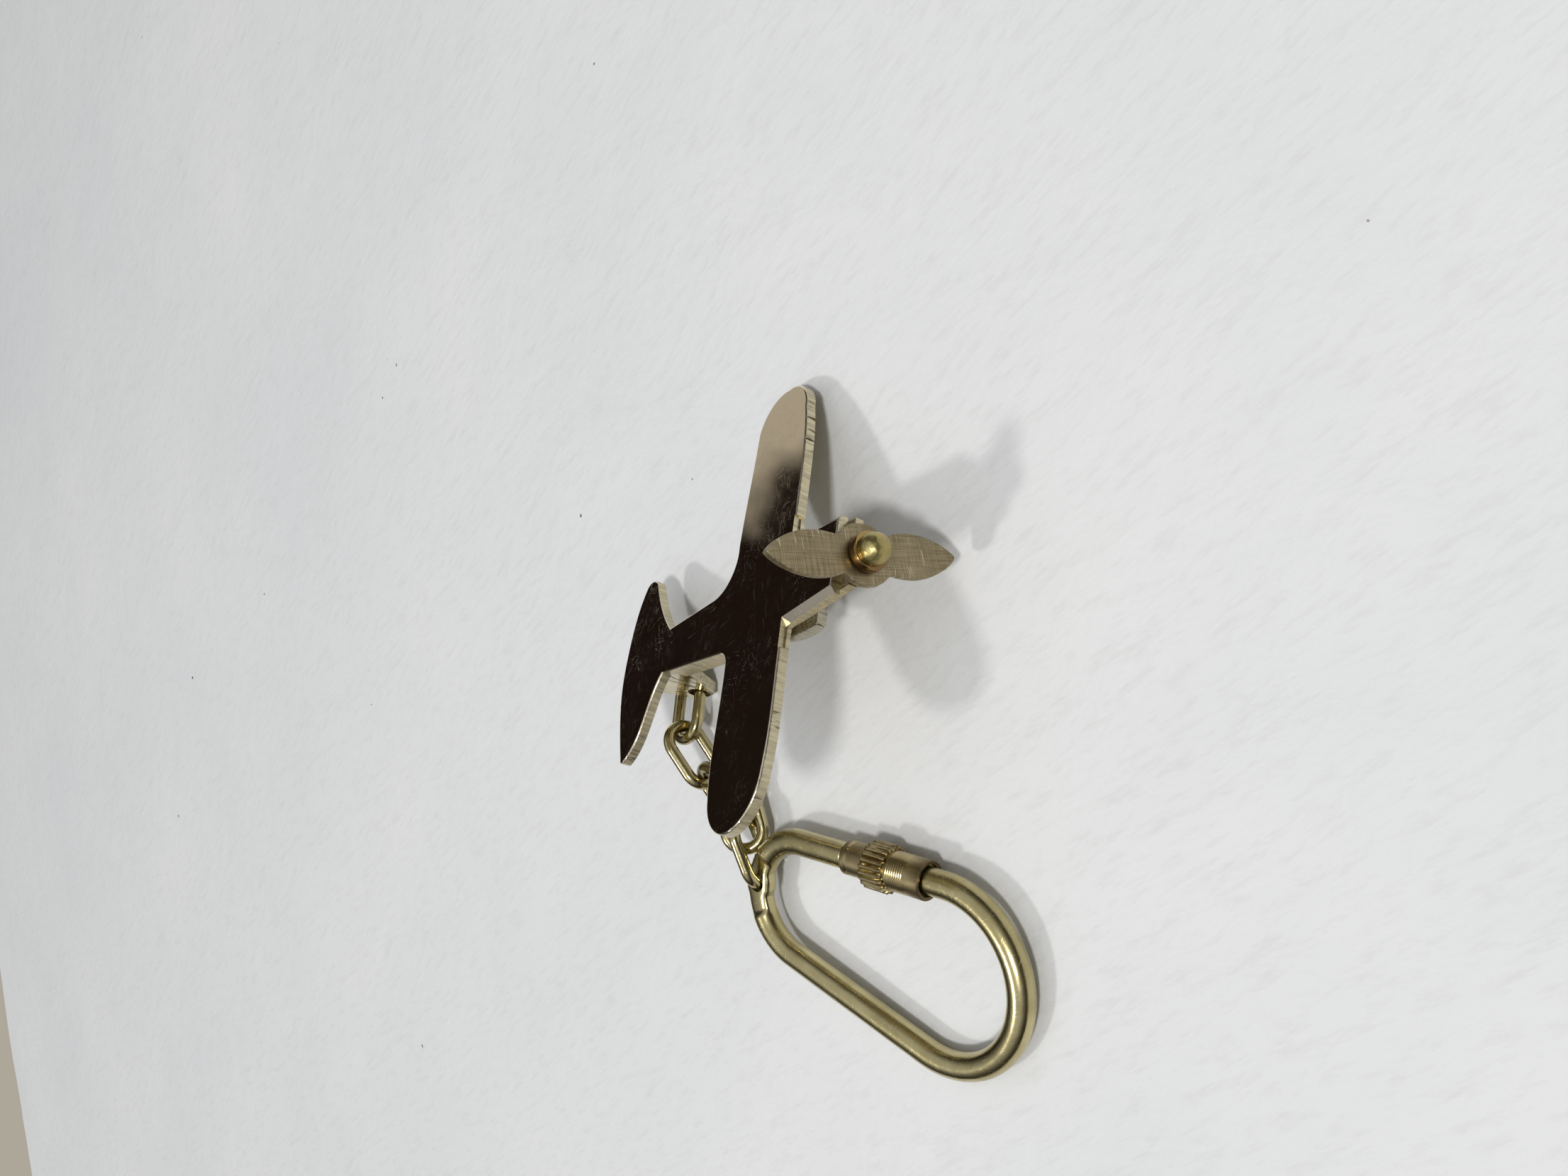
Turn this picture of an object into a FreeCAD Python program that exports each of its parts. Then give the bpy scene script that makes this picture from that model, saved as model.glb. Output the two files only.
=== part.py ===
import math
import os

import FreeCAD
import Part

os.makedirs("parts", exist_ok=True)
Vec = FreeCAD.Vector

# Plane frame (mm): +X to the nose, +Y to the port wing, +Z out of the polished top.
PLATE_T = 1.4
EDGE_ROUND = 0.25
WING_TIP_Y = 30.8
LEADING_X = 9.0
NOSE_X = 18.4
NOSE_HALF = 4.2
ROOT_HALF = 5.0
NOSE_FLARE = 0.9
FACET_DEPTH = 0.85

# Second layer under the nose, which carries the propeller pin.
BLOCK_T = 1.1
BLOCK_FRONT_X = 20.6
BLOCK_REAR_X = 7.0
BOSS_HALF = 1.9
BOSS_BOTTOM_Z = -4.2
BLOCK_STEP_IN = 0.7

# Opener hook under the wing root; its lip points to the nose.
HOOK_WIDTH = 4.2
HOOK_LIP_X = 4.6
HOOK_LIP_TOP_Z = -7.4
HOOK_BOTTOM_Z = -9.4
HOOK_REAR_X = -5.6
HOOK_WALL_X = -2.6
HOOK_CORNER_R = 1.6
HOOK_BELLY = ((0.8, 0.0), (-3.4, 1.3))
HOOK_BACK = ((-5.1, 3.2), (-5.6, 5.6))
LIP_BLUNT = 0.5

# Keel bar under the boom and the lug that holds the chain.
KEEL_T = 2.3
LUG_T = 1.8
LUG_HOLE = (-30.75, -10.30)
LUG_HOLE_R = 1.35
LUG_SLOT = (0.1, -0.3)

# Propeller, its pin and the collar under the pin's head.
SHAFT_Y = -0.6
SHAFT_Z = -2.35
PROP_FACE_X = 21.0
PROP_T = 0.9
BLADE_LONG = 13.9
BLADE_HALF = 3.3
BLADE_WIDE_X = 7.0
BLADE_SHOULDER = (11.3, 2.1)
BLADE_NECK = (3.4, 2.55)
HUB_R = 3.9
PROP_LEAN = 19.0
PIN_R = 0.9
PIN_GAP = 0.05
PIN_DEPTH = 7.0
COLLAR_R = 2.45
COLLAR_T = 1.2
HEAD_R = 2.3
HEAD_AHEAD = 0.8
SHAFT_GAP = 0.15

# Chain link: oval of round wire.
LINK_WIRE_R = 0.88
LINK_END_R = 2.66
LINK_HALF_STRAIGHT = 2.09

# Key ring: pear-shaped loop of round wire, straight beside the sleeve.
RING_WIRE_R = 1.8
RING_SMALL_R = 8.4
RING_LARGE_R = 11.6
RING_LONG = 24.7
EYE_HOLE_R = 1.35
EYE_T = 2.3
EYE_LONG = 4.4
EYE_WIDE = 4.4
THREAD_R = 1.55
WIRE_GAP = 0.4
THREAD_LONG = 1.9
THREAD_ROOT = 0.5

# Lock sleeve: smooth barrel, knurled collar, grooved barrel.
SLEEVE_START = 8.5
BARREL_A_LONG = 4.1
BARREL_A_R = 2.3
KNURL_LONG = 3.8
KNURL_R = 3.2
KNURL_TEETH = 22
KNURL_DEPTH = 0.4
BARREL_B_LONG = 5.8
BARREL_B_R = 2.6
SLEEVE_BORE_R = 1.9
COUNTERBORE_R = 2.1
COUNTERBORE_LONG = 1.2

# Standing pose in the row frame: origin, heading, pitch and roll in degrees.
PLANE_POSE = ((-3.62, -8.63, 14.93), -90.0, 7.2, -26.6)
RING_POSE = ((-41.8, 9.89, 3.11), -121.4, -1.5, 2.75)
LINK_POSES = (
    ((-10.52, 23.45, 2.69), 173.3, 21.4, -175.1),
    ((-17.5, 23.19, 4.3), -168.0, -13.6, 99.5),
    ((-22.98, 19.72, 3.88), -108.3, 12.4, -159.8),
    ((-27.95, 17.05, 3.96), 178.5, -1.0, -39.2),
    ((-33.05, 16.76, 3.94), 175.3, -11.3, 77.3),
)
ROW_SHIFT = Vec(21.976, 3.769, 0.135)


def placed(shape, pose):
    origin, heading, pitch, roll = pose
    turn = FreeCAD.Rotation(Vec(0, 0, 1), heading)
    turn = turn.multiply(FreeCAD.Rotation(Vec(0, -1, 0), pitch))
    turn = turn.multiply(FreeCAD.Rotation(Vec(1, 0, 0), roll))
    moved = shape.copy()
    pose = FreeCAD.Placement(Vec(*origin) + ROW_SHIFT, turn)
    moved.Placement = pose.multiply(shape.Placement)
    return moved


def flat(points, z=0.0):
    return [Vec(x, y, z) for x, y in points]


def curve(points):
    spline = Part.BSplineCurve()
    spline.interpolate(flat(points))
    return spline.toShape()


def arc(a, b, c):
    return Part.Arc(*flat((a, b, c))).toShape()


def line(a, b):
    return Part.makeLine(*flat((a, b)))


def prism(points, low, high):
    wire = Part.makePolygon(flat(points + points[:1], low))
    return Part.Face(wire).extrude(Vec(0, 0, high - low))


def side_prism(points, y_low, y_high):
    corners = [Vec(x, y_low, z) for x, z in points + points[:1]]
    return Part.Face(Part.makePolygon(corners)).extrude(Vec(0, y_high - y_low, 0))


def plate_outline():
    nose_half = NOSE_HALF + NOSE_FLARE
    root_half = ROOT_HALF + NOSE_FLARE
    port_root = (LEADING_X, root_half + 0.5)
    star_root = (LEADING_X, -root_half - 0.5)
    return [
        line((NOSE_X + 0.5, -nose_half), (NOSE_X + 0.5, nose_half)),
        line((NOSE_X + 0.5, nose_half), (LEADING_X + 0.6, root_half)),
        line((LEADING_X + 0.6, root_half), port_root),
        curve([port_root, (8.9, 14.7), (8.6, 21.8), (7.9, 26.0)]),
        arc((7.9, 26.0), (6.3, 29.6), (2.8, WING_TIP_Y)),
        arc((2.8, WING_TIP_Y), (-1.6, 29.9), (-3.9, 26.6)),
        curve([(-3.9, 26.6), (-4.2, 21.9), (-4.7, 16.0), (-5.1, 9.6)]),
        arc((-5.1, 9.6), (-6.4, 5.3), (-10.4, 3.6)),
        line((-10.4, 3.6), (-22.2, 3.3)),
        curve([(-22.2, 3.3), (-24.0, 5.1), (-28.9, 12.6)]),
        arc((-28.9, 12.6), (-30.6, 13.7), (-32.2, 13.2)),
        curve([(-32.2, 13.2), (-33.8, 10.2), (-35.1, 4.0), (-35.2, -2.0), (-33.4, -9.3), (-31.3, -14.6)]),
        line((-31.3, -14.6), (-30.5, -14.7)),
        curve([(-30.5, -14.7), (-26.9, -11.5), (-24.5, -6.3), (-22.4, -3.4)]),
        line((-22.4, -3.4), (-6.0, -5.5)),
        arc((-6.0, -5.5), (-5.0, -6.1), (-4.3, -7.8)),
        curve([(-4.3, -7.8), (-4.3, -14.6), (-4.4, -20.0), (-3.7, -26.2)]),
        arc((-3.7, -26.2), (-1.9, -29.4), (2.4, -WING_TIP_Y)),
        arc((2.4, -WING_TIP_Y), (6.6, -28.6), (8.5, -24.2)),
        curve([(8.5, -24.2), (9.0, -20.0), (9.0, -13.6), star_root]),
        line(star_root, (LEADING_X + 0.6, -root_half)),
        line((LEADING_X + 0.6, -root_half), (NOSE_X + 0.5, -nose_half)),
    ]


def nose_facet(side):
    start = Vec(LEADING_X - 0.4, side * (ROOT_HALF + 0.05), 0.01)
    along = Vec(NOSE_X + 1.0 - start.x, side * (NOSE_HALF - ROOT_HALF), 0)
    out = Vec(0, side * 4.0, 0)
    down = Vec(0, side * (NOSE_FLARE + 0.1), -FACET_DEPTH)
    triangle = Part.makePolygon([start, start + out, start + out + Vec(0, 0, down.z), start + down, start])
    return Part.Face(triangle).extrude(along)


def airframe_plate():
    wire = Part.Wire(Part.__sortEdges__(plate_outline()))
    plate = Part.Face(wire).extrude(Vec(0, 0, -PLATE_T))
    tops = [e for e in plate.Edges if e.BoundBox.ZMax < 0.01 and e.BoundBox.ZMin > -0.01]
    plate = plate.makeFillet(EDGE_ROUND, tops)
    for side in (-1, 1):
        plate = plate.cut(nose_facet(side))
    return plate


def nose_block():
    root = ROOT_HALF + NOSE_FLARE - BLOCK_STEP_IN
    tip = NOSE_HALF + NOSE_FLARE - BLOCK_STEP_IN
    bottom = -PLATE_T - BLOCK_T
    layer = prism([
        (BLOCK_REAR_X, -root), (LEADING_X, -root), (BLOCK_FRONT_X, -tip),
        (BLOCK_FRONT_X, tip), (LEADING_X, root), (BLOCK_REAR_X, root),
    ], bottom, -PLATE_T)
    boss = prism([
        (BLOCK_REAR_X, SHAFT_Y - BOSS_HALF), (BLOCK_FRONT_X, SHAFT_Y - BOSS_HALF),
        (BLOCK_FRONT_X, SHAFT_Y + BOSS_HALF), (BLOCK_REAR_X, SHAFT_Y + BOSS_HALF),
    ], BOSS_BOTTOM_Z, bottom)
    bore = shaft_rod(PIN_R, BLOCK_FRONT_X - PIN_DEPTH, BLOCK_FRONT_X + 1.0)
    return layer.fuse(boss).removeSplitter().cut(bore)


def shaft_rod(radius, x_low, x_high):
    return Part.makeCylinder(radius, x_high - x_low, Vec(x_low, SHAFT_Y, SHAFT_Z), Vec(1, 0, 0))


def opener_hook():
    side = -HOOK_WIDTH / 2
    top = -PLATE_T
    turn = HOOK_CORNER_R
    corner = turn * (1 - math.sqrt(0.5))

    def at(x, z):
        return Vec(x, side, z)

    lip_low = at(HOOK_LIP_X, HOOK_BOTTOM_Z + LIP_BLUNT)
    lip_high = at(HOOK_LIP_X, HOOK_LIP_TOP_Z)
    wall_top = at(HOOK_WALL_X, top)
    wall_low = at(HOOK_WALL_X, HOOK_LIP_TOP_Z + turn)
    mouth = at(HOOK_WALL_X + turn, HOOK_LIP_TOP_Z)
    inside = at(HOOK_WALL_X + corner, HOOK_LIP_TOP_Z + corner)
    belly, heel = [at(x, HOOK_BOTTOM_Z + z) for x, z in HOOK_BELLY]
    swell, back = [at(x, HOOK_BOTTOM_Z + z) for x, z in HOOK_BACK]
    rear_top = at(HOOK_REAR_X, top)
    edges = [
        Part.makeLine(rear_top, wall_top),
        Part.makeLine(wall_top, wall_low),
        Part.Arc(wall_low, inside, mouth).toShape(),
        Part.makeLine(mouth, lip_high),
        Part.makeLine(lip_high, lip_low),
        Part.Arc(lip_low, belly, heel).toShape(),
        Part.Arc(heel, swell, back).toShape(),
        Part.makeLine(back, rear_top),
    ]
    return Part.Face(Part.Wire(edges)).extrude(Vec(0, HOOK_WIDTH, 0))


def tail_keel():
    return prism([
        (-8.0, -4.6), (-8.0, 2.9), (-22.0, 2.7), (-24.5, 1.6), (-24.5, -1.8), (-22.0, -2.9),
    ], -PLATE_T - KEEL_T, -PLATE_T)


def chain_lug():
    top = -PLATE_T - KEEL_T
    body = side_prism([
        (-24.4, top), (-29.3, -12.0), (-31.6, -12.0), (-33.3, -10.6), (-33.7, -9.2), (-34.9, -6.5),
        (-34.9, -PLATE_T),
        (-24.5, -PLATE_T), (-24.5, top),
    ], -LUG_T / 2, LUG_T / 2)
    x, z = LUG_HOLE
    dx, dz = LUG_SLOT
    hole = Part.makeCylinder(LUG_HOLE_R, 2 * LUG_T, Vec(x - dx, -LUG_T, z - dz), Vec(0, 1, 0))
    hole = hole.fuse(Part.makeCylinder(LUG_HOLE_R, 2 * LUG_T, Vec(x + dx, -LUG_T, z + dz), Vec(0, 1, 0)))
    return body.cut(hole)


def propeller():
    neck_x, neck_half = BLADE_NECK
    shoulder_x, shoulder_half = BLADE_SHOULDER
    outline = []
    for end in (1, -1):
        tip = (end * BLADE_LONG, 0.0)
        for side in (1, -1):
            outline.append(curve([
                (end * neck_x, side * neck_half), (end * BLADE_WIDE_X, side * BLADE_HALF),
                (end * shoulder_x, side * shoulder_half), tip,
            ]))
    for side in (1, -1):
        half = side * neck_half
        outline.append(arc((neck_x, half), (0.0, side * HUB_R), (-neck_x, half)))
    wire = Part.Wire(Part.__sortEdges__(outline))
    shape = Part.Face(wire).extrude(Vec(0, 0, PROP_T))
    shape = shape.cut(Part.makeCylinder(PIN_R + PIN_GAP, PROP_T))
    shape.rotate(Vec(0, 0, 0), Vec(0, 1, 0), 90)
    shape.rotate(Vec(0, 0, 0), Vec(1, 0, 0), PROP_LEAN)
    shape.translate(Vec(PROP_FACE_X, SHAFT_Y, SHAFT_Z))
    return shape


def collar_back_x():
    return PROP_FACE_X + PROP_T + SHAFT_GAP


def pin_collar():
    back = collar_back_x()
    return shaft_rod(COLLAR_R, back, back + COLLAR_T).cut(shaft_rod(PIN_R, back - 1, back + COLLAR_T + 1))


def propeller_pin():
    front = collar_back_x() + COLLAR_T
    rod = shaft_rod(PIN_R, BLOCK_FRONT_X - PIN_DEPTH, front + HEAD_AHEAD)
    ball = Part.makeSphere(HEAD_R, Vec(front + HEAD_AHEAD, SHAFT_Y, SHAFT_Z))
    wide = 2 * HEAD_R
    behind = Part.makeBox(wide, 2 * wide, 2 * wide, Vec(front - wide, SHAFT_Y - wide, SHAFT_Z - wide))
    return rod.fuse(ball.cut(behind)).removeSplitter()


def chain_link():
    end, half = LINK_END_R, LINK_HALF_STRAIGHT
    path = Part.Wire([
        line((-half, -end), (half, -end)),
        arc((half, -end), (half + end, 0), (half, end)),
        line((half, end), (-half, end)),
        arc((-half, end), (-half - end, 0), (-half, -end)),
    ])
    section = Part.Wire(Part.makeCircle(LINK_WIRE_R, Vec(-half, -end, 0), Vec(1, 0, 0)))
    return path.makePipeShell([section], True, True)


def tangent():
    lean = math.asin((RING_LARGE_R - RING_SMALL_R) / RING_LONG)
    away = Vec(-math.sin(lean), math.cos(lean), 0)
    return away, Vec(math.cos(lean), math.sin(lean), 0)


def ring_points():
    away, _ = tangent()
    small = away * RING_SMALL_R
    large = Vec(RING_LONG, 0, 0) + away * RING_LARGE_R
    return small, large


def sleeve_axis_point(distance):
    small, _ = ring_points()
    _, along = tangent()
    return small + along * distance


def wire_cut():
    return SLEEVE_START + THREAD_LONG


def rod(radius, start, end):
    _, along = tangent()
    return Part.makeCylinder(radius, end - start, sleeve_axis_point(start), along)


def swept(path, radius, start, direction):
    section = Part.Wire(Part.makeCircle(radius, start, direction))
    return path.makePipeShell([section], True, True)


def key_ring():
    small, large = ring_points()
    _, along = tangent()
    small_low = Vec(small.x, -small.y, 0)
    large_low = Vec(large.x, -large.y, 0)
    right_start = sleeve_axis_point(wire_cut() + WIRE_GAP)
    path = Part.Wire([
        Part.makeLine(right_start, large),
        Part.Arc(large, Vec(RING_LONG + RING_LARGE_R, 0, 0), large_low).toShape(),
        Part.makeLine(large_low, small_low),
        Part.Arc(small_low, Vec(-RING_SMALL_R, 0, 0), small).toShape(),
        Part.makeLine(small, sleeve_axis_point(SLEEVE_START - THREAD_ROOT / 2)),
    ])
    wire = swept(path, RING_WIRE_R, right_start, along)
    threaded = rod(THREAD_R, SLEEVE_START - THREAD_ROOT, wire_cut())
    wire = wire.fuse(threaded)
    pad = Part.makeCylinder(EYE_WIDE / 2, EYE_T, Vec(-RING_SMALL_R, 0, -EYE_T / 2))
    corner = Vec(-RING_SMALL_R - EYE_LONG / 2, -EYE_LONG, EYE_T / 2)
    flats = Part.makeBox(EYE_LONG, 2 * EYE_LONG, RING_WIRE_R, corner)
    low = flats.mirror(Vec(0, 0, 0), Vec(0, 0, 1))
    hole = Part.makeCylinder(EYE_HOLE_R, 2 * EYE_T, Vec(-RING_SMALL_R, 0, -EYE_T))
    return wire.cut(flats).cut(low).fuse(pad).cut(hole)


def knurl():
    start = SLEEVE_START + BARREL_A_LONG
    overlap = 0.5
    collar = rod(KNURL_R, start, start + KNURL_LONG)
    centre = sleeve_axis_point(start - overlap)
    _, along = tangent()
    groove = Part.makeCylinder(KNURL_DEPTH, KNURL_LONG + 2 * overlap, centre + Vec(0, 0, KNURL_R), along)
    for index in range(KNURL_TEETH):
        turned = groove.copy()
        turned.rotate(centre, along, 360.0 * index / KNURL_TEETH)
        collar = collar.cut(turned)
    return collar


def lock_sleeve():
    knurl_end = SLEEVE_START + BARREL_A_LONG + KNURL_LONG
    end = knurl_end + BARREL_B_LONG
    body = rod(BARREL_A_R, SLEEVE_START, SLEEVE_START + BARREL_A_LONG + 0.5)
    body = body.fuse(knurl()).fuse(rod(BARREL_B_R, knurl_end - 0.5, end))
    body = body.cut(rod(SLEEVE_BORE_R, SLEEVE_START - 1, end + 1))
    return body.cut(rod(COUNTERBORE_R, end - COUNTERBORE_LONG, end + 1))


def all_parts():
    plane = {
        "airframe_plate": airframe_plate(),
        "nose_block": nose_block(),
        "opener_hook": opener_hook(),
        "tail_keel": tail_keel(),
        "chain_lug": chain_lug(),
        "propeller": propeller(),
        "pin_collar": pin_collar(),
        "propeller_pin": propeller_pin(),
    }
    parts = {name: placed(shape, PLANE_POSE) for name, shape in plane.items()}
    for number, pose in enumerate(LINK_POSES, 1):
        parts["chain_link_%d" % number] = placed(chain_link(), pose)
    parts["key_ring"] = placed(key_ring(), RING_POSE)
    parts["lock_sleeve"] = placed(lock_sleeve(), RING_POSE)
    return parts


for node, solid in all_parts().items():
    solid.exportStep("parts/%s.step" % node)
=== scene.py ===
import math

import bmesh
import bpy
from mathutils import Matrix, Vector
from mathutils import noise as field


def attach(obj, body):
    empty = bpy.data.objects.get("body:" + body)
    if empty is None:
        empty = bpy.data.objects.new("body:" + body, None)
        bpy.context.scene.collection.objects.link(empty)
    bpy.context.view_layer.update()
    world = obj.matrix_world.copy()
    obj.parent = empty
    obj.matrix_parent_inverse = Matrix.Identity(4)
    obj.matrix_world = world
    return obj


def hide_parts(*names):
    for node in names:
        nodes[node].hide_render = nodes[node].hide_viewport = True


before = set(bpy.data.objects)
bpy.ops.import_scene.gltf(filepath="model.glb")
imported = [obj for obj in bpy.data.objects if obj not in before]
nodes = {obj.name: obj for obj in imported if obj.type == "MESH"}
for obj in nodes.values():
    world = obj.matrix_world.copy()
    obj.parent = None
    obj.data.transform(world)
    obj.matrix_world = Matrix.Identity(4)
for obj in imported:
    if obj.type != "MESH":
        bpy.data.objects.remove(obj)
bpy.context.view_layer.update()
MM = 0.001

# Poses as in part.py: origin in mm, then heading, pitch and roll in degrees.
ROW_SHIFT = Vector((21.976, 3.769, 0.135))
PLANE_POSE = ((-3.62, -8.63, 14.93), -90.0, 7.2, -26.6)
RING_POSE = ((-41.8, 9.89, 3.11), -121.4, -1.5, 2.75)
LINK_POSES = (
    ((-10.52, 23.45, 2.69), 173.3, 21.4, -175.1),
    ((-17.5, 23.19, 4.3), -168.0, -13.6, 99.5),
    ((-22.98, 19.72, 3.88), -108.3, 12.4, -159.8),
    ((-27.95, 17.05, 3.96), 178.5, -1.0, -39.2),
    ((-33.05, 16.76, 3.94), 175.3, -11.3, 77.3),
)


def pose_matrix(pose):
    origin, heading, pitch, roll = pose
    turn = Matrix.Rotation(math.radians(heading), 4, "Z")
    turn = turn @ Matrix.Rotation(math.radians(pitch), 4, Vector((0, -1, 0)))
    turn = turn @ Matrix.Rotation(math.radians(roll), 4, "X")
    place = Matrix.Translation((Vector(origin) + ROW_SHIFT) * MM)
    return place @ turn @ Matrix.Scale(MM, 4)


PLANE_TURN = pose_matrix(PLANE_POSE).to_euler("XYZ")
PLATE_UP = (pose_matrix(PLANE_POSE).to_3x3() @ Vector((0, 0, 1))).normalized()

# Sizes in mm. Blades, ball head and knurl depth differ a little from part.py, to suit the look.
LINK_WIRE_R = 0.88
LINK_END_R = 2.66
LINK_HALF_STRAIGHT = 2.09
RING_WIRE_R = 1.8
RING_SMALL_R = 8.4
RING_LARGE_R = 11.6
RING_LONG = 24.7
EYE_HOLE_R = 1.35
EYE_HALF_T = 1.15
EYE_HALF_WIDE = 2.2
THREAD_R = 1.55
THREAD_LONG = 1.9
WIRE_GAP = 0.4
SLEEVE_START = 8.5
BARREL_A_R = 2.3
KNURL_START = 12.6
KNURL_R = 3.2
KNURL_TEETH = 22
KNURL_DEPTH = 0.6
KNURL_END = 16.4
BARREL_B_R = 2.6
SLEEVE_END = 22.2
SLEEVE_BORE_R = 1.9
COUNTERBORE_R = 2.1
COUNTERBORE_LONG = 1.2
SHAFT_Y = -0.6
SHAFT_Z = -2.35
PIN_R = 0.9
SHAFT_PLAY = 0.05
PIN_BACK_X = 13.6
HEAD_BACK_X = 23.25
HEAD_R = 2.02
HEAD_AHEAD = 0.5
PROP_FACE_X = 21.0
PROP_HALF_T = 0.45
PROP_LEAN = 19.0
BLADE_LONG = 13.6
BLADE_HALF = 2.85
BLADE_WIDE_X = 6.8
NECK_X = 3.4
NECK_IN = 0.5
HUB_R = 4.41
HUB_IN = 0.51


# ---------------------------------------------------------------- materials
class Nodes:
    """Short way to add and link shader nodes of one material."""

    def __init__(self, name, rotation=None):
        self.material = bpy.data.materials.new(name)
        self.material.use_nodes = True
        self.tree = self.material.node_tree
        self.shader = self.tree.nodes["Principled BSDF"]
        self.place = self.add("ShaderNodeTexCoord").outputs["Object"]
        if rotation is not None:
            self.place = self.turned_place(rotation)

    def add(self, kind, **values):
        node = self.tree.nodes.new(kind)
        for key, value in values.items():
            if hasattr(node, key):
                setattr(node, key, value)
            else:
                node.inputs[key.replace("_", " ")].default_value = value
        return node

    def link(self, source, target):
        self.tree.links.new(source, target)

    def turned_place(self, rotation):
        """Coordinates in a frame that is turned by that rotation."""
        node = self.add("ShaderNodeMapping", vector_type="TEXTURE")
        node.inputs["Rotation"].default_value = rotation
        self.link(self.place, node.inputs["Vector"])
        return node.outputs["Vector"]

    def stretched(self, scale, turn=(0, 0, 0)):
        """Turned first, then scaled, so that long marks follow the turn."""
        node = self.add("ShaderNodeMapping", vector_type="TEXTURE")
        node.inputs["Scale"].default_value = [1.0 / value for value in scale]
        node.inputs["Rotation"].default_value = [math.radians(a) for a in turn]
        self.link(self.place, node.inputs["Vector"])
        return node.outputs["Vector"]

    def noise(self, scale, detail=4.0, vector=None, rough=0.55, distort=0.0):
        node = self.add("ShaderNodeTexNoise", Scale=scale, Detail=detail, Roughness=rough, Distortion=distort)
        self.link(vector or self.place, node.inputs["Vector"])
        return node.outputs["Fac"]

    def ramp(self, value, low, high, start=0.0, end=1.0):
        node = self.add("ShaderNodeMapRange")
        for key, number in zip(("From Min", "From Max", "To Min", "To Max"), (low, high, start, end)):
            node.inputs[key].default_value = number
        self.link(value, node.inputs["Value"])
        return node.outputs["Result"]

    def math(self, operation, a, b):
        node = self.add("ShaderNodeMath", operation=operation)
        for socket, value in zip(node.inputs, (a, b)):
            if isinstance(value, (int, float)):
                socket.default_value = value
            else:
                self.link(value, socket)
        return node.outputs[0]

    def mix(self, factor, a, b):
        node = self.add("ShaderNodeMix", data_type="RGBA")
        sockets = [s for s in node.inputs if s.type == "RGBA"]
        for socket, value in zip([node.inputs["Factor"], *sockets], (factor, a, b)):
            if isinstance(value, (tuple, list)):
                socket.default_value = (*value, 1.0)
            elif isinstance(value, (int, float)):
                socket.default_value = value
            else:
                self.link(value, socket)
        return [s for s in node.outputs if s.type == "RGBA"][0]

    def bump(self, height, distance, strength=1.0, normal=None):
        node = self.add("ShaderNodeBump", Distance=distance, Strength=strength)
        self.link(height, node.inputs["Height"])
        if normal is not None:
            self.link(normal, node.inputs["Normal"])
        return node.outputs["Normal"]

    def finish(self, colour=None, rough=None, normal=None, metal=1.0):
        self.shader.inputs["Metallic"].default_value = metal
        for value, key in ((colour, "Base Color"), (rough, "Roughness"), (normal, "Normal")):
            if value is None:
                continue
            if isinstance(value, (int, float)):
                self.shader.inputs[key].default_value = value
            else:
                self.link(value, self.shader.inputs[key])
        return self.material


def brighter(colour, factor):
    return tuple(min(1.0, c * factor) for c in colour)


def scratches(n, angles, fineness, length, cover):
    """Thin straight lines in a few directions, 1 on a scratch."""
    total = None
    for angle in angles:
        line = n.noise(fineness, 1.0, n.stretched((1.0, length, 0.01), (0, 0, angle)), 0.5)
        line = n.ramp(line, cover, cover + 0.04)
        total = line if total is None else n.math("MAXIMUM", total, line)
    return total


def wire_brass(name, base, dark, rough, dents=0.2):
    n = Nodes(name)
    blotch = n.noise(150.0, 4.0)
    drawn = n.noise(3200.0, 3.0)
    lines = scratches(n, (10, 62, 118), 9000.0, 0.06, 0.72)
    tint = n.mix(n.ramp(blotch, 0.38, 0.66), dark, base)
    colour = n.mix(n.math("MULTIPLY", lines, 0.5), tint, brighter(base, 1.5))
    satin = n.ramp(blotch, 0.3, 0.7, rough + 0.06, rough - 0.04)
    roughness = n.math("ADD", satin, n.math("MULTIPLY", lines, 0.12))
    height = n.math("ADD", blotch, n.math("MULTIPLY", drawn, 0.02))
    height = n.math("ADD", height, n.math("MULTIPLY", lines, -0.01))
    return n.finish(colour, roughness, n.bump(height, 0.0005, dents))


def facing(n, direction, low, high):
    """1 where the surface faces that direction of the row frame."""
    coords = n.add("ShaderNodeTexCoord").outputs["Normal"]
    node = n.add("ShaderNodeVectorMath", operation="DOT_PRODUCT")
    node.inputs[1].default_value = direction
    n.link(coords, node.inputs[0])
    return n.ramp(node.outputs["Value"], low, high)


def file_marks(n, base):
    """Colour, roughness and height of a sawn and filed brass wall."""
    strokes = n.noise(2600.0, 3.0, n.stretched((1.0, 1.0, 0.10)))
    broad = n.noise(420.0, 2.0, n.stretched((1.0, 1.0, 0.3)))
    deep = n.ramp(n.noise(1900.0, 2.0, n.stretched((1.0, 1.0, 0.14))), 0.60, 0.66)
    here = n.ramp(n.noise(95.0, 2.0), 0.47, 0.60)
    pits = n.math("MULTIPLY", deep, here)
    tint = n.mix(n.ramp(broad, 0.35, 0.65), brighter(base, 0.86), brighter(base, 1.06))
    tint = n.mix(n.ramp(strokes, 0.36, 0.60), brighter(base, 0.62), tint)
    colour = n.mix(pits, tint, (0.10, 0.07, 0.045))
    height = n.math("ADD", n.math("MULTIPLY", strokes, 0.35), n.math("MULTIPLY", pits, -0.8))
    return colour, n.ramp(strokes, 0.35, 0.65, 0.30, 0.42), height


WALL_TINT = (0.72, 0.645, 0.44)


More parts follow.
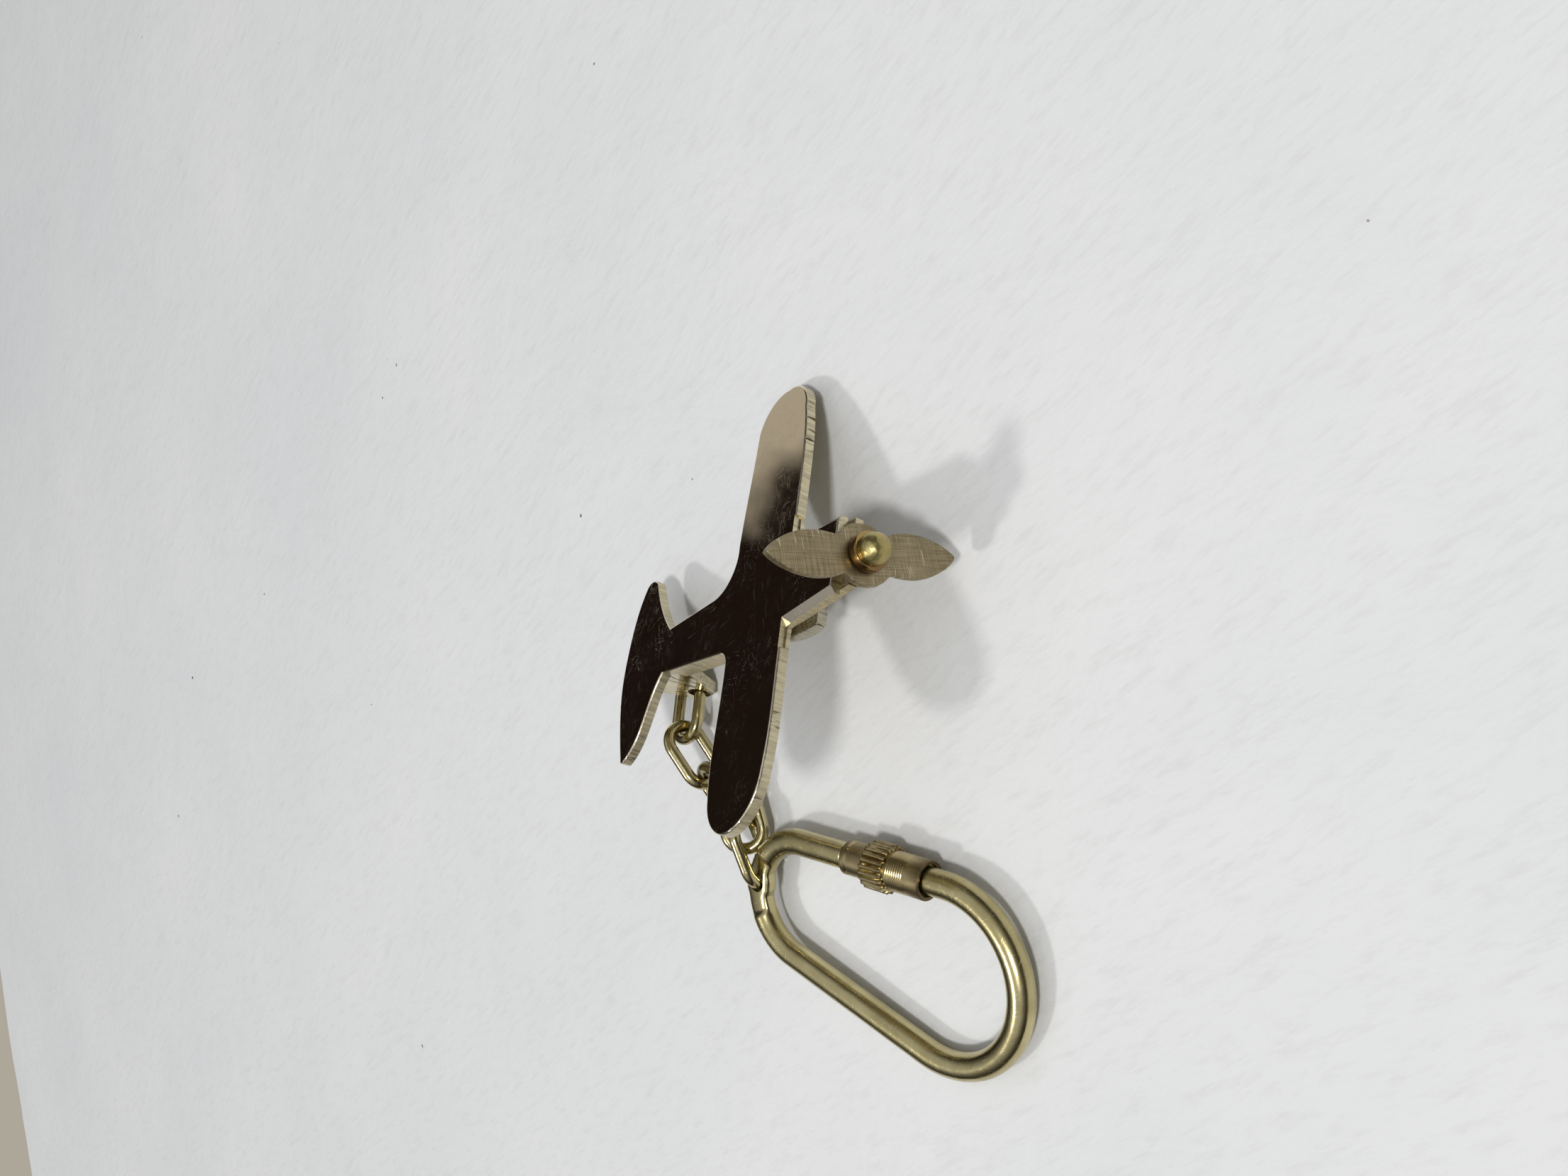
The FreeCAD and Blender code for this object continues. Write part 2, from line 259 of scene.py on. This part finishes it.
def plate_brass():
    n = Nodes("polished_plate", PLANE_TURN)
    top = facing(n, PLATE_UP, 0.52, 0.72)
    wall_colour, wall_rough, wall_height = file_marks(n, WALL_TINT)
    wave = n.noise(34.0, 2.0)
    long_lines = scratches(n, (20, 97, 152), 9000.0, 0.02, 0.715)
    short_lines = scratches(n, (-15, 38, 75, 128), 12000.0, 0.05, 0.705)
    patch = n.ramp(n.noise(120.0, 3.0), 0.40, 0.62)
    lines = n.math("MAXIMUM", n.math("MULTIPLY", long_lines, 0.8), n.math("MULTIPLY", short_lines, patch))
    polished = n.mix(n.noise(90.0, 3.0), (0.84, 0.75, 0.60), (0.90, 0.80, 0.65))
    haze = n.ramp(n.noise(240.0, 5.0), 0.3, 0.8, 0.035, 0.075)
    top_rough = n.math("ADD", haze, n.math("MULTIPLY", lines, 0.22))
    colour = n.mix(top, wall_colour, polished)
    rough = n.math("ADD", n.math("MULTIPLY", top, top_rough),
                   n.math("MULTIPLY", n.math("SUBTRACT", 1.0, top), wall_rough))
    height = n.math("ADD", wave, n.math("MULTIPLY", lines, -0.006))
    normal = n.bump(n.math("MULTIPLY", height, top), 0.0002, 0.25)
    wall = n.math("MULTIPLY", wall_height, n.math("SUBTRACT", 1.0, top))
    return n.finish(colour, rough, n.bump(wall, 0.00007, 0.55, normal))


def filed_brass(name, base, rough=0.0):
    n = Nodes(name, PLANE_TURN)
    colour, roughness, height = file_marks(n, base)
    return n.finish(colour, n.math("ADD", roughness, rough), n.bump(height, 0.00007, 0.5))


def propeller_brass():
    n = Nodes("propeller_brass", PLANE_TURN)
    lean = (19, 0, 0)
    down = n.noise(6500.0, 3.0, n.stretched((0.01, 1.0, 0.03), lean), 0.6)
    across = n.noise(6500.0, 3.0, n.stretched((0.01, 0.03, 1.0), lean), 0.6)
    cloud = n.noise(420.0, 4.0)
    brushed = n.math("MULTIPLY", n.math("ADD", down, across), 0.42)
    both = n.math("ADD", brushed, n.math("MULTIPLY", cloud, 0.16))
    cut = n.ramp(n.noise(4200.0, 1.0, n.stretched((0.01, 0.05, 1.0), lean)), 0.70, 0.72)
    # The dark olive tint is the brushed brass tone, darkened further as painted shade for the propeller's
    # front face, which faces away from the lamps.
    tint = n.mix(n.ramp(both, 0.40, 0.60), (0.22, 0.175, 0.095), (0.385, 0.32, 0.20))
    colour = n.mix(n.math("MULTIPLY", cut, 0.7), tint, (0.78, 0.68, 0.50))
    # Painted highlight: convex rims (high pointiness) get a paler brass colour that stands in for the light
    # caught on the blade edges.
    edge = n.add("ShaderNodeNewGeometry").outputs["Pointiness"]
    colour = n.mix(n.ramp(edge, 0.54, 0.62), colour, (0.80, 0.73, 0.58))
    return n.finish(colour, n.ramp(both, 0.4, 0.6, 0.50, 0.38), n.bump(both, 0.00005, 0.5))


def sleeve_brass():
    n = Nodes("sleeve_brass")
    blotch = n.noise(300.0, 5.0)
    dirt = n.ramp(n.noise(900.0, 3.0), 0.55, 0.75)
    # Painted shade: concave places (low pointiness), the knurl grooves, are mixed towards near black. The
    # random dirt patches mixed into the same dark colour are real dirt.
    hollow = n.ramp(n.add("ShaderNodeNewGeometry").outputs["Pointiness"], 0.42, 0.49, 1.0, 0.0)
    tint = n.mix(n.ramp(blotch, 0.35, 0.65), (0.36, 0.285, 0.135), (0.56, 0.47, 0.26))
    colour = n.mix(n.math("MAXIMUM", hollow, n.math("MULTIPLY", dirt, 0.35)), tint, (0.085, 0.055, 0.03))
    rough = n.math("ADD", n.ramp(blotch, 0.3, 0.7, 0.26, 0.18), n.math("MULTIPLY", hollow, 0.3))
    return n.finish(colour, rough, n.bump(blotch, 0.0002, 0.2))


def paper_white():
    n = Nodes("paper")
    turn = (0, 0, 15)
    fibre = n.noise(950.0, 5.0, n.stretched((1.0, 0.22, 1.0), turn), 0.65)
    cross = n.noise(1500.0, 3.0, n.stretched((0.3, 1.0, 1.0), turn), 0.6)
    cloud = n.noise(11.0, 4.0)
    rumple = n.noise(62.0, 5.0, n.stretched((1.0, 0.7, 1.0)), 0.6, 0.4)
    speck = n.ramp(n.noise(380.0, 1.0), 0.825, 0.84)
    tint = n.mix(n.ramp(cloud, 0.3, 0.7), (0.76, 0.77, 0.78), (0.82, 0.825, 0.825))
    colour = n.mix(n.ramp(fibre, 0.50, 0.72, 0.0, 0.30), tint, (0.62, 0.62, 0.61))
    colour = n.mix(speck, colour, (0.16, 0.15, 0.14))
    height = n.math("ADD", n.math("MULTIPLY", fibre, 0.10), n.math("MULTIPLY", cross, 0.05))
    height = n.math("ADD", height, n.math("MULTIPLY", rumple, 1.2))
    return n.finish(colour, 0.86, n.bump(height, 0.0016, 0.45), metal=0.0)


MATERIALS = {
    "airframe_plate": plate_brass(),
    "nose_block": filed_brass("filed_brass", (0.74, 0.64, 0.42)),
    "opener_hook": filed_brass("hook_brass", (0.66, 0.61, 0.48), -0.12),
    "tail_keel": filed_brass("keel_brass", (0.74, 0.64, 0.42)),
    "chain_lug": filed_brass("lug_brass", (0.76, 0.68, 0.48), -0.18),
    "propeller": propeller_brass(),
    # The collar brass is darker than the pin brass as painted shade and reflection for the collar, which sits
    # in the shaded gap behind the ball head.
    "pin_collar": wire_brass("collar_brass", (0.40, 0.27, 0.11), (0.20, 0.12, 0.05), 0.16),
    "propeller_pin": wire_brass("pin_brass", (0.52, 0.44, 0.19), (0.38, 0.31, 0.12), 0.36, 0.8),
    "key_ring": wire_brass("ring_brass", (0.58, 0.51, 0.28), (0.42, 0.36, 0.18), 0.22),
    "lock_sleeve": sleeve_brass(),
}
LINK_BRASS = wire_brass("chain_brass", (0.56, 0.49, 0.27), (0.38, 0.32, 0.16), 0.17)


def give(obj, material):
    obj.data.materials.clear()
    obj.data.materials.append(material)


for name, node in nodes.items():
    give(node, MATERIALS.get(name, LINK_BRASS))


# ---------------------------------------------------------------- softened edges of the CAD pieces
def soften(node, width):
    """Worn edges: the pieces were filed by hand, so no edge is knife sharp."""
    weld = node.modifiers.new("weld", "WELD")
    weld.merge_threshold = 0.002 * MM
    bevel = node.modifiers.new("worn_edge", "BEVEL")
    bevel.width = width * MM
    bevel.segments = 3
    bevel.limit_method = "ANGLE"
    bevel.angle_limit = math.radians(35)
    bevel.use_clamp_overlap = True
    even = node.modifiers.new("even_faces", "WEIGHTED_NORMAL")
    even.weight = 100


for name, width in (
    ("nose_block", 0.12), ("opener_hook", 0.22), ("tail_keel", 0.18),
    ("chain_lug", 0.16), ("pin_collar", 0.16),
):
    soften(nodes[name], width)


# ---------------------------------------------------------------- detailed pieces
def smooth(low, high, value):
    t = min(1.0, max(0.0, (value - low) / (high - low)))
    return t * t * (3 - 2 * t)


def mixed(a, b, t):
    return a + (b - a) * t


def make_piece(name, corners, faces, pose, node, body):
    mesh = bpy.data.meshes.new(name)
    mesh.from_pydata(corners, [], faces)
    mesh.transform(pose_matrix(pose))
    mesh.validate()
    mesh.shade_smooth()
    obj = bpy.data.objects.new(name, mesh)
    bpy.context.scene.collection.objects.link(obj)
    give(obj, MATERIALS.get(node, LINK_BRASS))
    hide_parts(node)
    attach(obj, body)
    return obj


def grid_faces(rows, around, closed):
    """Quads between rows of points; a closed path joins its last row to the first."""
    faces = []
    for i in range(rows if closed else rows - 1):
        j = (i + 1) % rows
        for k in range(around):
            m = (k + 1) % around
            faces.append((i * around + k, j * around + k, j * around + m, i * around + m))
    if not closed:
        faces.append(tuple(range(around)))
        faces.append(tuple(reversed(range((rows - 1) * around, rows * around))))
    return faces


def arc_points(centre, radius, start, end, steps):
    turns = [math.radians(mixed(start, end, i / steps)) for i in range(steps)]
    return [Vector((centre + radius * math.cos(t), radius * math.sin(t), 0)) for t in turns]


def run_points(a, b, steps):
    return [a.lerp(b, i / steps) for i in range(steps)]


def tube(path, section, around, closed):
    """Wire along a path in the XY plane; section gives half width, half height and squareness."""
    corners = []
    last = len(path) - 1
    for i, point in enumerate(path):
        before = path[i - 1] if closed or i > 0 else point
        after = path[(i + 1) % len(path)] if closed or i < last else point
        ahead = (after - before).normalized()
        aside = Vector((ahead.y, -ahead.x, 0))
        wide, high, power = section(point, i)
        for k in range(around):
            turn = 2 * math.pi * k / around
            c, s = math.cos(turn), math.sin(turn)
            x = wide * math.copysign(abs(c) ** power, c)
            z = high * math.copysign(abs(s) ** power, s)
            corners.append(point + aside * x + Vector((0, 0, z)))
    return corners, grid_faces(len(path), around, closed)


def link_path():
    half, end = LINK_HALF_STRAIGHT, LINK_END_R
    path = run_points(Vector((-half, -end, 0)), Vector((half, -end, 0)), 14)
    path += arc_points(half, end, -90, 90, 40)
    path += run_points(Vector((half, end, 0)), Vector((-half, end, 0)), 14)
    path += arc_points(-half, end, 90, 270, 40)
    return path


def chain_links():
    path = link_path()
    for number, pose in enumerate(LINK_POSES, 1):
        def section(point, i, seed=number):
            hammer = 1.0 - 0.020 * (0.5 + 0.5 * field.noise(point * 0.9 + Vector((seed * 7.0, 0, 0))))
            return LINK_WIRE_R * hammer, LINK_WIRE_R * hammer, 1.0
        corners, faces = tube(path, section, 32, True)
        node = "chain_link_%d" % number
        make_piece("wire_link_%d" % number, corners, faces, pose, node, node)


def tangent():
    lean = math.asin((RING_LARGE_R - RING_SMALL_R) / RING_LONG)
    away = Vector((-math.sin(lean), math.cos(lean), 0))
    return lean, away, Vector((math.cos(lean), math.sin(lean), 0))


def sleeve_point(distance):
    _, away, along = tangent()
    return away * RING_SMALL_R + along * distance


def ring_path():
    lean, away, along = tangent()
    turn = 90 + math.degrees(lean)
    large = Vector((RING_LONG, 0, 0)) + away * RING_LARGE_R
    small_low = Vector((away.x, -away.y, 0)) * RING_SMALL_R
    large_low = Vector((large.x, -large.y, 0))
    path = run_points(sleeve_point(SLEEVE_START + THREAD_LONG + WIRE_GAP), large, 30)
    path += arc_points(RING_LONG, RING_LARGE_R, turn, -turn, 110)
    path += run_points(large_low, small_low, 50)
    path += arc_points(0, RING_SMALL_R, 360 - turn, turn, 170)
    path += run_points(away * RING_SMALL_R, sleeve_point(SLEEVE_START - 0.02), 26)
    step = 0.05
    path += [sleeve_point(SLEEVE_START + step * i) for i in range(int(THREAD_LONG / step) + 1)]
    return path


def ring_section(point, i):
    """Round wire, hammered flat and wider round the eye, thinner with a thread inside the sleeve."""
    _, away, along = tangent()
    eye = Vector((-RING_SMALL_R, 0, 0))
    away_from_eye = (point - eye).length
    flat = 1.0 - smooth(3.9, 4.9, away_from_eye)
    widened = 1.0 - smooth(0.8, 2.2, away_from_eye)
    reached = (point - away * RING_SMALL_R).dot(along)
    on_thread = point.y > 0 and SLEEVE_START - 0.01 < reached < SLEEVE_START + THREAD_LONG + 0.01
    if on_thread:
        ridge = THREAD_R - 0.12 * abs(math.sin(math.pi * reached / 0.7))
        return ridge, ridge, 1.0
    wear = 1.0 - 0.010 * (0.5 + 0.5 * field.noise(point * 0.35))
    wide = mixed(RING_WIRE_R * wear, EYE_HALF_WIDE, widened)
    high = mixed(RING_WIRE_R * wear, EYE_HALF_T, flat)
    return wide, high, mixed(1.0, 0.55, flat)


def drilled(obj, cutter):
    """Cuts the cutter out of the object and drops the cutter."""
    cut = obj.modifiers.new("hole", "BOOLEAN")
    cut.object = cutter
    cut.solver = "EXACT"
    graph = bpy.context.evaluated_depsgraph_get()
    mesh = bpy.data.meshes.new_from_object(obj.evaluated_get(graph))
    obj.modifiers.clear()
    obj.data = mesh
    mesh.set_sharp_from_angle(angle=math.radians(40))
    bpy.data.objects.remove(cutter)


def drill(name, radius, centre, along, pose):
    mesh = bpy.data.meshes.new(name)
    bm = bmesh.new()
    bmesh.ops.create_cone(bm, cap_ends=True, segments=64, radius1=radius, radius2=radius, depth=6)
    bm.to_mesh(mesh)
    bm.free()
    turn = Vector(along).to_track_quat("Z", "Y").to_matrix().to_4x4()
    mesh.transform(pose_matrix(pose) @ Matrix.Translation(centre) @ turn)
    obj = bpy.data.objects.new(name, mesh)
    bpy.context.scene.collection.objects.link(obj)
    return obj


def key_ring():
    corners, faces = tube(ring_path(), ring_section, 40, False)
    ring = make_piece("ring_wire", corners, faces, RING_POSE, "key_ring", "key_ring")
    eye = Vector((-RING_SMALL_R, 0, 0))
    drilled(ring, drill("eye_drill", EYE_HOLE_R, eye, (0, 0, 1), RING_POSE))


def turned(origin, along, profile, around, shape):
    """Lathe shape round an axis; shape changes the radius by distance and angle."""
    side = along.orthogonal().normalized()
    third = along.cross(side)
    corners = []
    for distance, radius in profile:
        for k in range(around):
            turn = 2 * math.pi * k / around
            r = shape(distance, radius, turn)
            corners.append(origin + along * distance + (side * math.cos(turn) + third * math.sin(turn)) * r)
    return corners


def sleeve_profile():
    bevel = 0.3
    fine = 0.02
    profile = [(SLEEVE_START + fine, SLEEVE_BORE_R), (SLEEVE_START, SLEEVE_BORE_R + fine)]
    profile += [(SLEEVE_START, BARREL_A_R - bevel), (SLEEVE_START + bevel, BARREL_A_R)]
    profile += [(SLEEVE_START + 0.9, BARREL_A_R), (SLEEVE_START + 1.0, BARREL_A_R - 0.1)]
    profile += [(SLEEVE_START + 1.3, BARREL_A_R - 0.1), (SLEEVE_START + 1.4, BARREL_A_R)]
    profile += [(KNURL_START - 0.25, BARREL_A_R), (KNURL_START - 0.15, BARREL_A_R - 0.12)]
    profile += [(KNURL_START, BARREL_A_R - 0.12), (KNURL_START, KNURL_R - bevel)]
    steps = 12
    first, last = KNURL_START + bevel, KNURL_END - bevel
    profile += [(mixed(first, last, i / steps), KNURL_R) for i in range(steps + 1)]
    profile += [(KNURL_END, KNURL_R - bevel), (KNURL_END, BARREL_B_R - 0.14)]
    profile += [(KNURL_END + 0.2, BARREL_B_R - 0.14), (KNURL_END + 0.3, BARREL_B_R)]
    for groove in range(8):
        at = KNURL_END + 0.55 + 0.36 * groove
        profile += [(at, BARREL_B_R), (at + 0.09, BARREL_B_R - 0.06), (at + 0.18, BARREL_B_R)]
    profile += [(SLEEVE_END - 0.15, BARREL_B_R), (SLEEVE_END, BARREL_B_R - 0.15)]
    profile += [(SLEEVE_END, COUNTERBORE_R + 0.05), (SLEEVE_END - 0.05, COUNTERBORE_R)]
    step_at = SLEEVE_END - COUNTERBORE_LONG
    profile += [(step_at, COUNTERBORE_R), (step_at, SLEEVE_BORE_R)]
    return profile


def sleeve_radius(distance, radius, turn):
    inside = smooth(BARREL_B_R, KNURL_R - 0.35, radius)
    if inside <= 0 or not KNURL_START <= distance <= KNURL_END:
        return radius
    phase = (turn * KNURL_TEETH / (2 * math.pi)) % 1.0 - 0.5
    chewed = 0.85 + 0.3 * field.noise(Vector((turn * 3, distance, 0.5)))
    return radius - KNURL_DEPTH * chewed * math.exp(-(phase / 0.22) ** 2) * inside


def lock_sleeve():
    _, away, along = tangent()
    profile = sleeve_profile()
    around = KNURL_TEETH * 12
    corners = turned(away * RING_SMALL_R, along, profile, around, sleeve_radius)
    faces = grid_faces(len(profile), around, True)
    piece = make_piece(
        "knurled_sleeve", corners, faces, RING_POSE, "lock_sleeve", "lock_sleeve"
    )
    piece.data.set_sharp_from_angle(angle=math.radians(32))


def pin_profile():
    centre = HEAD_BACK_X + HEAD_AHEAD
    back = math.acos(-HEAD_AHEAD / HEAD_R)
    steps = 36
    ball = [back * (1 - i / steps) for i in range(steps)]
    profile = [(PIN_BACK_X, PIN_R * 0.5), (PIN_BACK_X, PIN_R), (HEAD_BACK_X, PIN_R)]
    profile += [(centre + HEAD_R * math.cos(t), HEAD_R * math.sin(t)) for t in ball]
    return profile


def hammered_head(corner):
    """Small flats and a shallow crater on the ball."""
    centre = Vector((HEAD_BACK_X + HEAD_AHEAD, SHAFT_Y, SHAFT_Z))
    out = corner - centre
    if corner.x < HEAD_BACK_X + 0.01:
        return corner
    direction = out.normalized()
    dent = 0.09 * (0.5 + 0.5 * field.noise(direction * 4.3))
    crater = direction.angle(Vector((0.72, -0.42, -0.55)))
    pit = 0.16 * math.exp(-(crater / 0.15) ** 2)
    rim = 0.09 * math.exp(-((crater - 0.34) / 0.06) ** 2)
    dent += pit + rim
    return centre + direction * (out.length - dent)


def propeller_pin():
    around = 72
    profile = pin_profile()
    origin = Vector((0, SHAFT_Y, SHAFT_Z))
    corners = turned(origin, Vector((1, 0, 0)), profile, around, lambda distance, radius, turn: radius)
    corners = [hammered_head(corner) for corner in corners]
    faces = grid_faces(len(profile), around, False)
    pin = make_piece("ball_pin", corners, faces, PLANE_POSE, "propeller_pin", "airframe")
    pin.data.set_sharp_from_angle(angle=math.radians(50))


def blade_half_width(x):
    """Two pointed oval blades and a round hub, cut from one sheet."""
    far = abs(x)
    hub = math.sqrt(HUB_R ** 2 - far ** 2) - HUB_IN if far < NECK_X else 0.0
    if far < BLADE_WIDE_X:
        blade = BLADE_HALF - NECK_IN * ((BLADE_WIDE_X - far) / (BLADE_WIDE_X - NECK_X)) ** 2
        return max(hub, blade)
    out = min(1.0, (far - BLADE_WIDE_X) / (BLADE_LONG - BLADE_WIDE_X))
    return max(0.02, BLADE_HALF * (1.0 - out ** 1.9) ** 0.75)


def propeller():
    steps = 260
    reach = BLADE_LONG - 0.01
    path = [Vector((mixed(-reach, reach, i / steps), 0, 0)) for i in range(steps + 1)]

    def section(point, i):
        chipped = 0.05 * (0.5 + 0.5 * field.noise(Vector((point.x * 1.3, 4.0, 0))))
        return max(0.02, blade_half_width(point.x) - chipped), PROP_HALF_T, 0.16

    corners, faces = tube(path, section, 64, False)
    lean = Matrix.Rotation(math.radians(PROP_LEAN), 3, "X")
    face = Vector((PROP_FACE_X + PROP_HALF_T, SHAFT_Y, SHAFT_Z))
    corners = [face + lean @ Vector((c.z, c.y, -c.x)) for c in corners]
    blades = make_piece(
        "propeller_blades", corners, faces, PLANE_POSE, "propeller", "propeller"
    )
    drilled(blades, drill("shaft_drill", PIN_R + SHAFT_PLAY, face, (1, 0, 0), PLANE_POSE))


chain_links()
propeller()
key_ring()
lock_sleeve()
propeller_pin()


# ---------------------------------------------------------------- paper floor
PAPER_SIDE = 0.9
PAPER_BELOW = 0.0004
FLAT_UNDER_OBJECT = 0.055
CREASE_FADE = 0.12
CREASE_DEPTH = 0.0022


def paper_floor():
    side, steps = PAPER_SIDE, 220
    mesh = bpy.data.meshes.new("paper_sheet")
    bm = bmesh.new()
    bmesh.ops.create_grid(bm, x_segments=steps, y_segments=steps, size=side / 2)
    for vert in bm.verts:
        x, y = vert.co.x, vert.co.y
        spread = max(0.0, math.hypot(x, y) - FLAT_UNDER_OBJECT)
        crease = field.fractal(Vector((x * 11 + 4, y * 11, 0.3)), 0.9, 2.2, 4)
        rising = min(1.0, spread / CREASE_FADE)
        vert.co.z = -PAPER_BELOW - CREASE_DEPTH * rising * (0.5 + 0.5 * abs(crease))
    bm.to_mesh(mesh)
    bm.free()
    mesh.shade_smooth()
    floor = bpy.data.objects.new("paper_sheet", mesh)
    bpy.context.scene.collection.objects.link(floor)
    give(floor, paper_white())


paper_floor()


# ---------------------------------------------------------------- surroundings
# Heights are the sine of the elevation, bearings are in radians from +X.
PALE_EDGE = (0.055, 0.037)
DARK_FROM = (0.900, 0.930)
DARK_TO = (1.45, 1.35)
PALE_WALL = (0.42, 0.385, 0.32)
ROOM_STOPS = (
    (0.0, (0.22, 0.20, 0.17)), (0.49, (0.20, 0.18, 0.15)), (0.51, (0.010, 0.006, 0.005)),
    (0.62, (0.012, 0.008, 0.006)), (0.75, (0.15, 0.145, 0.14)), (0.90, (0.59, 0.60, 0.62)),
    (1.0, (0.67, 0.68, 0.70)),
)


def surroundings():
    """Bright overhead, a dark room beyond the paper and a pale low band on one side of it."""
    world = bpy.data.worlds.new("room")
    bpy.context.scene.world = world
    world.use_nodes = True
    tree = world.node_tree

    def add(kind, **values):
        node = tree.nodes.new(kind)
        for key, value in values.items():
            setattr(node, key, value)
        return node

    def ramp(source, low, high):
        node = add("ShaderNodeMapRange")
        node.inputs["From Min"].default_value = low
        node.inputs["From Max"].default_value = high
        tree.links.new(source, node.inputs["Value"])
        return node.outputs["Result"]

    def sum_up(operation, a, b):
        node = add("ShaderNodeMath", operation=operation)
        for socket, value in zip(node.inputs, (a, b)):
            if isinstance(value, float):
                socket.default_value = value
            else:
                tree.links.new(value, socket)
        return node.outputs[0]

    direction = add("ShaderNodeTexCoord").outputs["Generated"]
    split = add("ShaderNodeSeparateXYZ")
    tree.links.new(direction, split.inputs["Vector"])
    x, y, z = split.outputs
    bearing = sum_up("ARCTAN2", y, x)
    ragged = add("ShaderNodeTexNoise")
    ragged.inputs["Scale"].default_value = 16.0
    ragged.inputs["Detail"].default_value = 4.0
    tree.links.new(direction, ragged.inputs["Vector"])
    wander = sum_up("MULTIPLY", sum_up("SUBTRACT", ragged.outputs["Fac"], 0.5), 0.10)
    low = ramp(sum_up("ADD", z, wander), *PALE_EDGE)
    beyond = sum_up("MULTIPLY", ramp(sum_up("ADD", bearing, wander), *DARK_FROM), ramp(bearing, *DARK_TO))
    pale = sum_up("MULTIPLY", low, sum_up("SUBTRACT", 1.0, beyond))

    shade = add("ShaderNodeValToRGB")
    tree.links.new(ramp(z, -1.0, 1.0), shade.inputs["Fac"])
    band = shade.color_ramp
    while len(band.elements) < len(ROOM_STOPS):
        band.elements.new(0.5)
    for element, (position, colour) in zip(band.elements, ROOM_STOPS):
        element.position = position
        element.color = (*colour, 1.0)
    both = add("ShaderNodeMix", data_type="RGBA")
    sockets = [s for s in both.inputs if s.type == "RGBA"]
    tree.links.new(pale, both.inputs["Factor"])
    tree.links.new(shade.outputs["Color"], sockets[0])
    sockets[1].default_value = (*PALE_WALL, 1.0)
    result = [s for s in both.outputs if s.type == "RGBA"][0]
    tree.links.new(result, tree.nodes["Background"].inputs["Color"])


def lamp(name, direction, distance, size, power, colour):
    data = bpy.data.lights.new(name, "AREA")
    data.shape = "DISK"
    data.size = size
    data.energy = power
    data.color = colour
    light = bpy.data.objects.new(name, data)
    toward = Vector(direction).normalized()
    light.location = toward * distance
    light.rotation_mode = "QUATERNION"
    light.rotation_quaternion = toward.to_track_quat("Z", "Y")
    bpy.context.scene.collection.objects.link(light)


surroundings()
lamp("near_lamp", (-0.21, -0.43, 0.88), 0.8, 0.10, 2.5, (1.0, 0.99, 0.97))
lamp("far_lamp", (-0.24, 0.44, 0.86), 1.5, 0.15, 4.9, (1.0, 0.98, 0.95))


# ---------------------------------------------------------------- camera
CAMERA_LENS = 32.55
CAMERA_DISTANCE = 196.57
CAMERA_ROLL = -5.39


def camera():
    back = Vector((-0.1907, -0.7018, 0.6864)).normalized()
    right = Vector((0.9650, -0.2622, 0.0)).normalized()
    up = back.cross(right)
    turn = math.radians(CAMERA_ROLL)
    level = right * math.cos(turn) + up * math.sin(turn)
    upward = up * math.cos(turn) - right * math.sin(turn)
    data = bpy.data.cameras.new("camera")
    data.sensor_width = 36.0
    data.lens = CAMERA_LENS
    data.clip_start = 0.01
    data.clip_end = 20.0
    view = bpy.data.objects.new("camera", data)
    axes = Matrix((-upward, level, back)).transposed().to_4x4()
    view.matrix_world = Matrix.Translation((ROW_SHIFT + back * CAMERA_DISTANCE) * MM) @ axes
    bpy.context.scene.collection.objects.link(view)
    bpy.context.scene.camera = view


camera()
bpy.context.scene.view_settings.view_transform = "Standard"
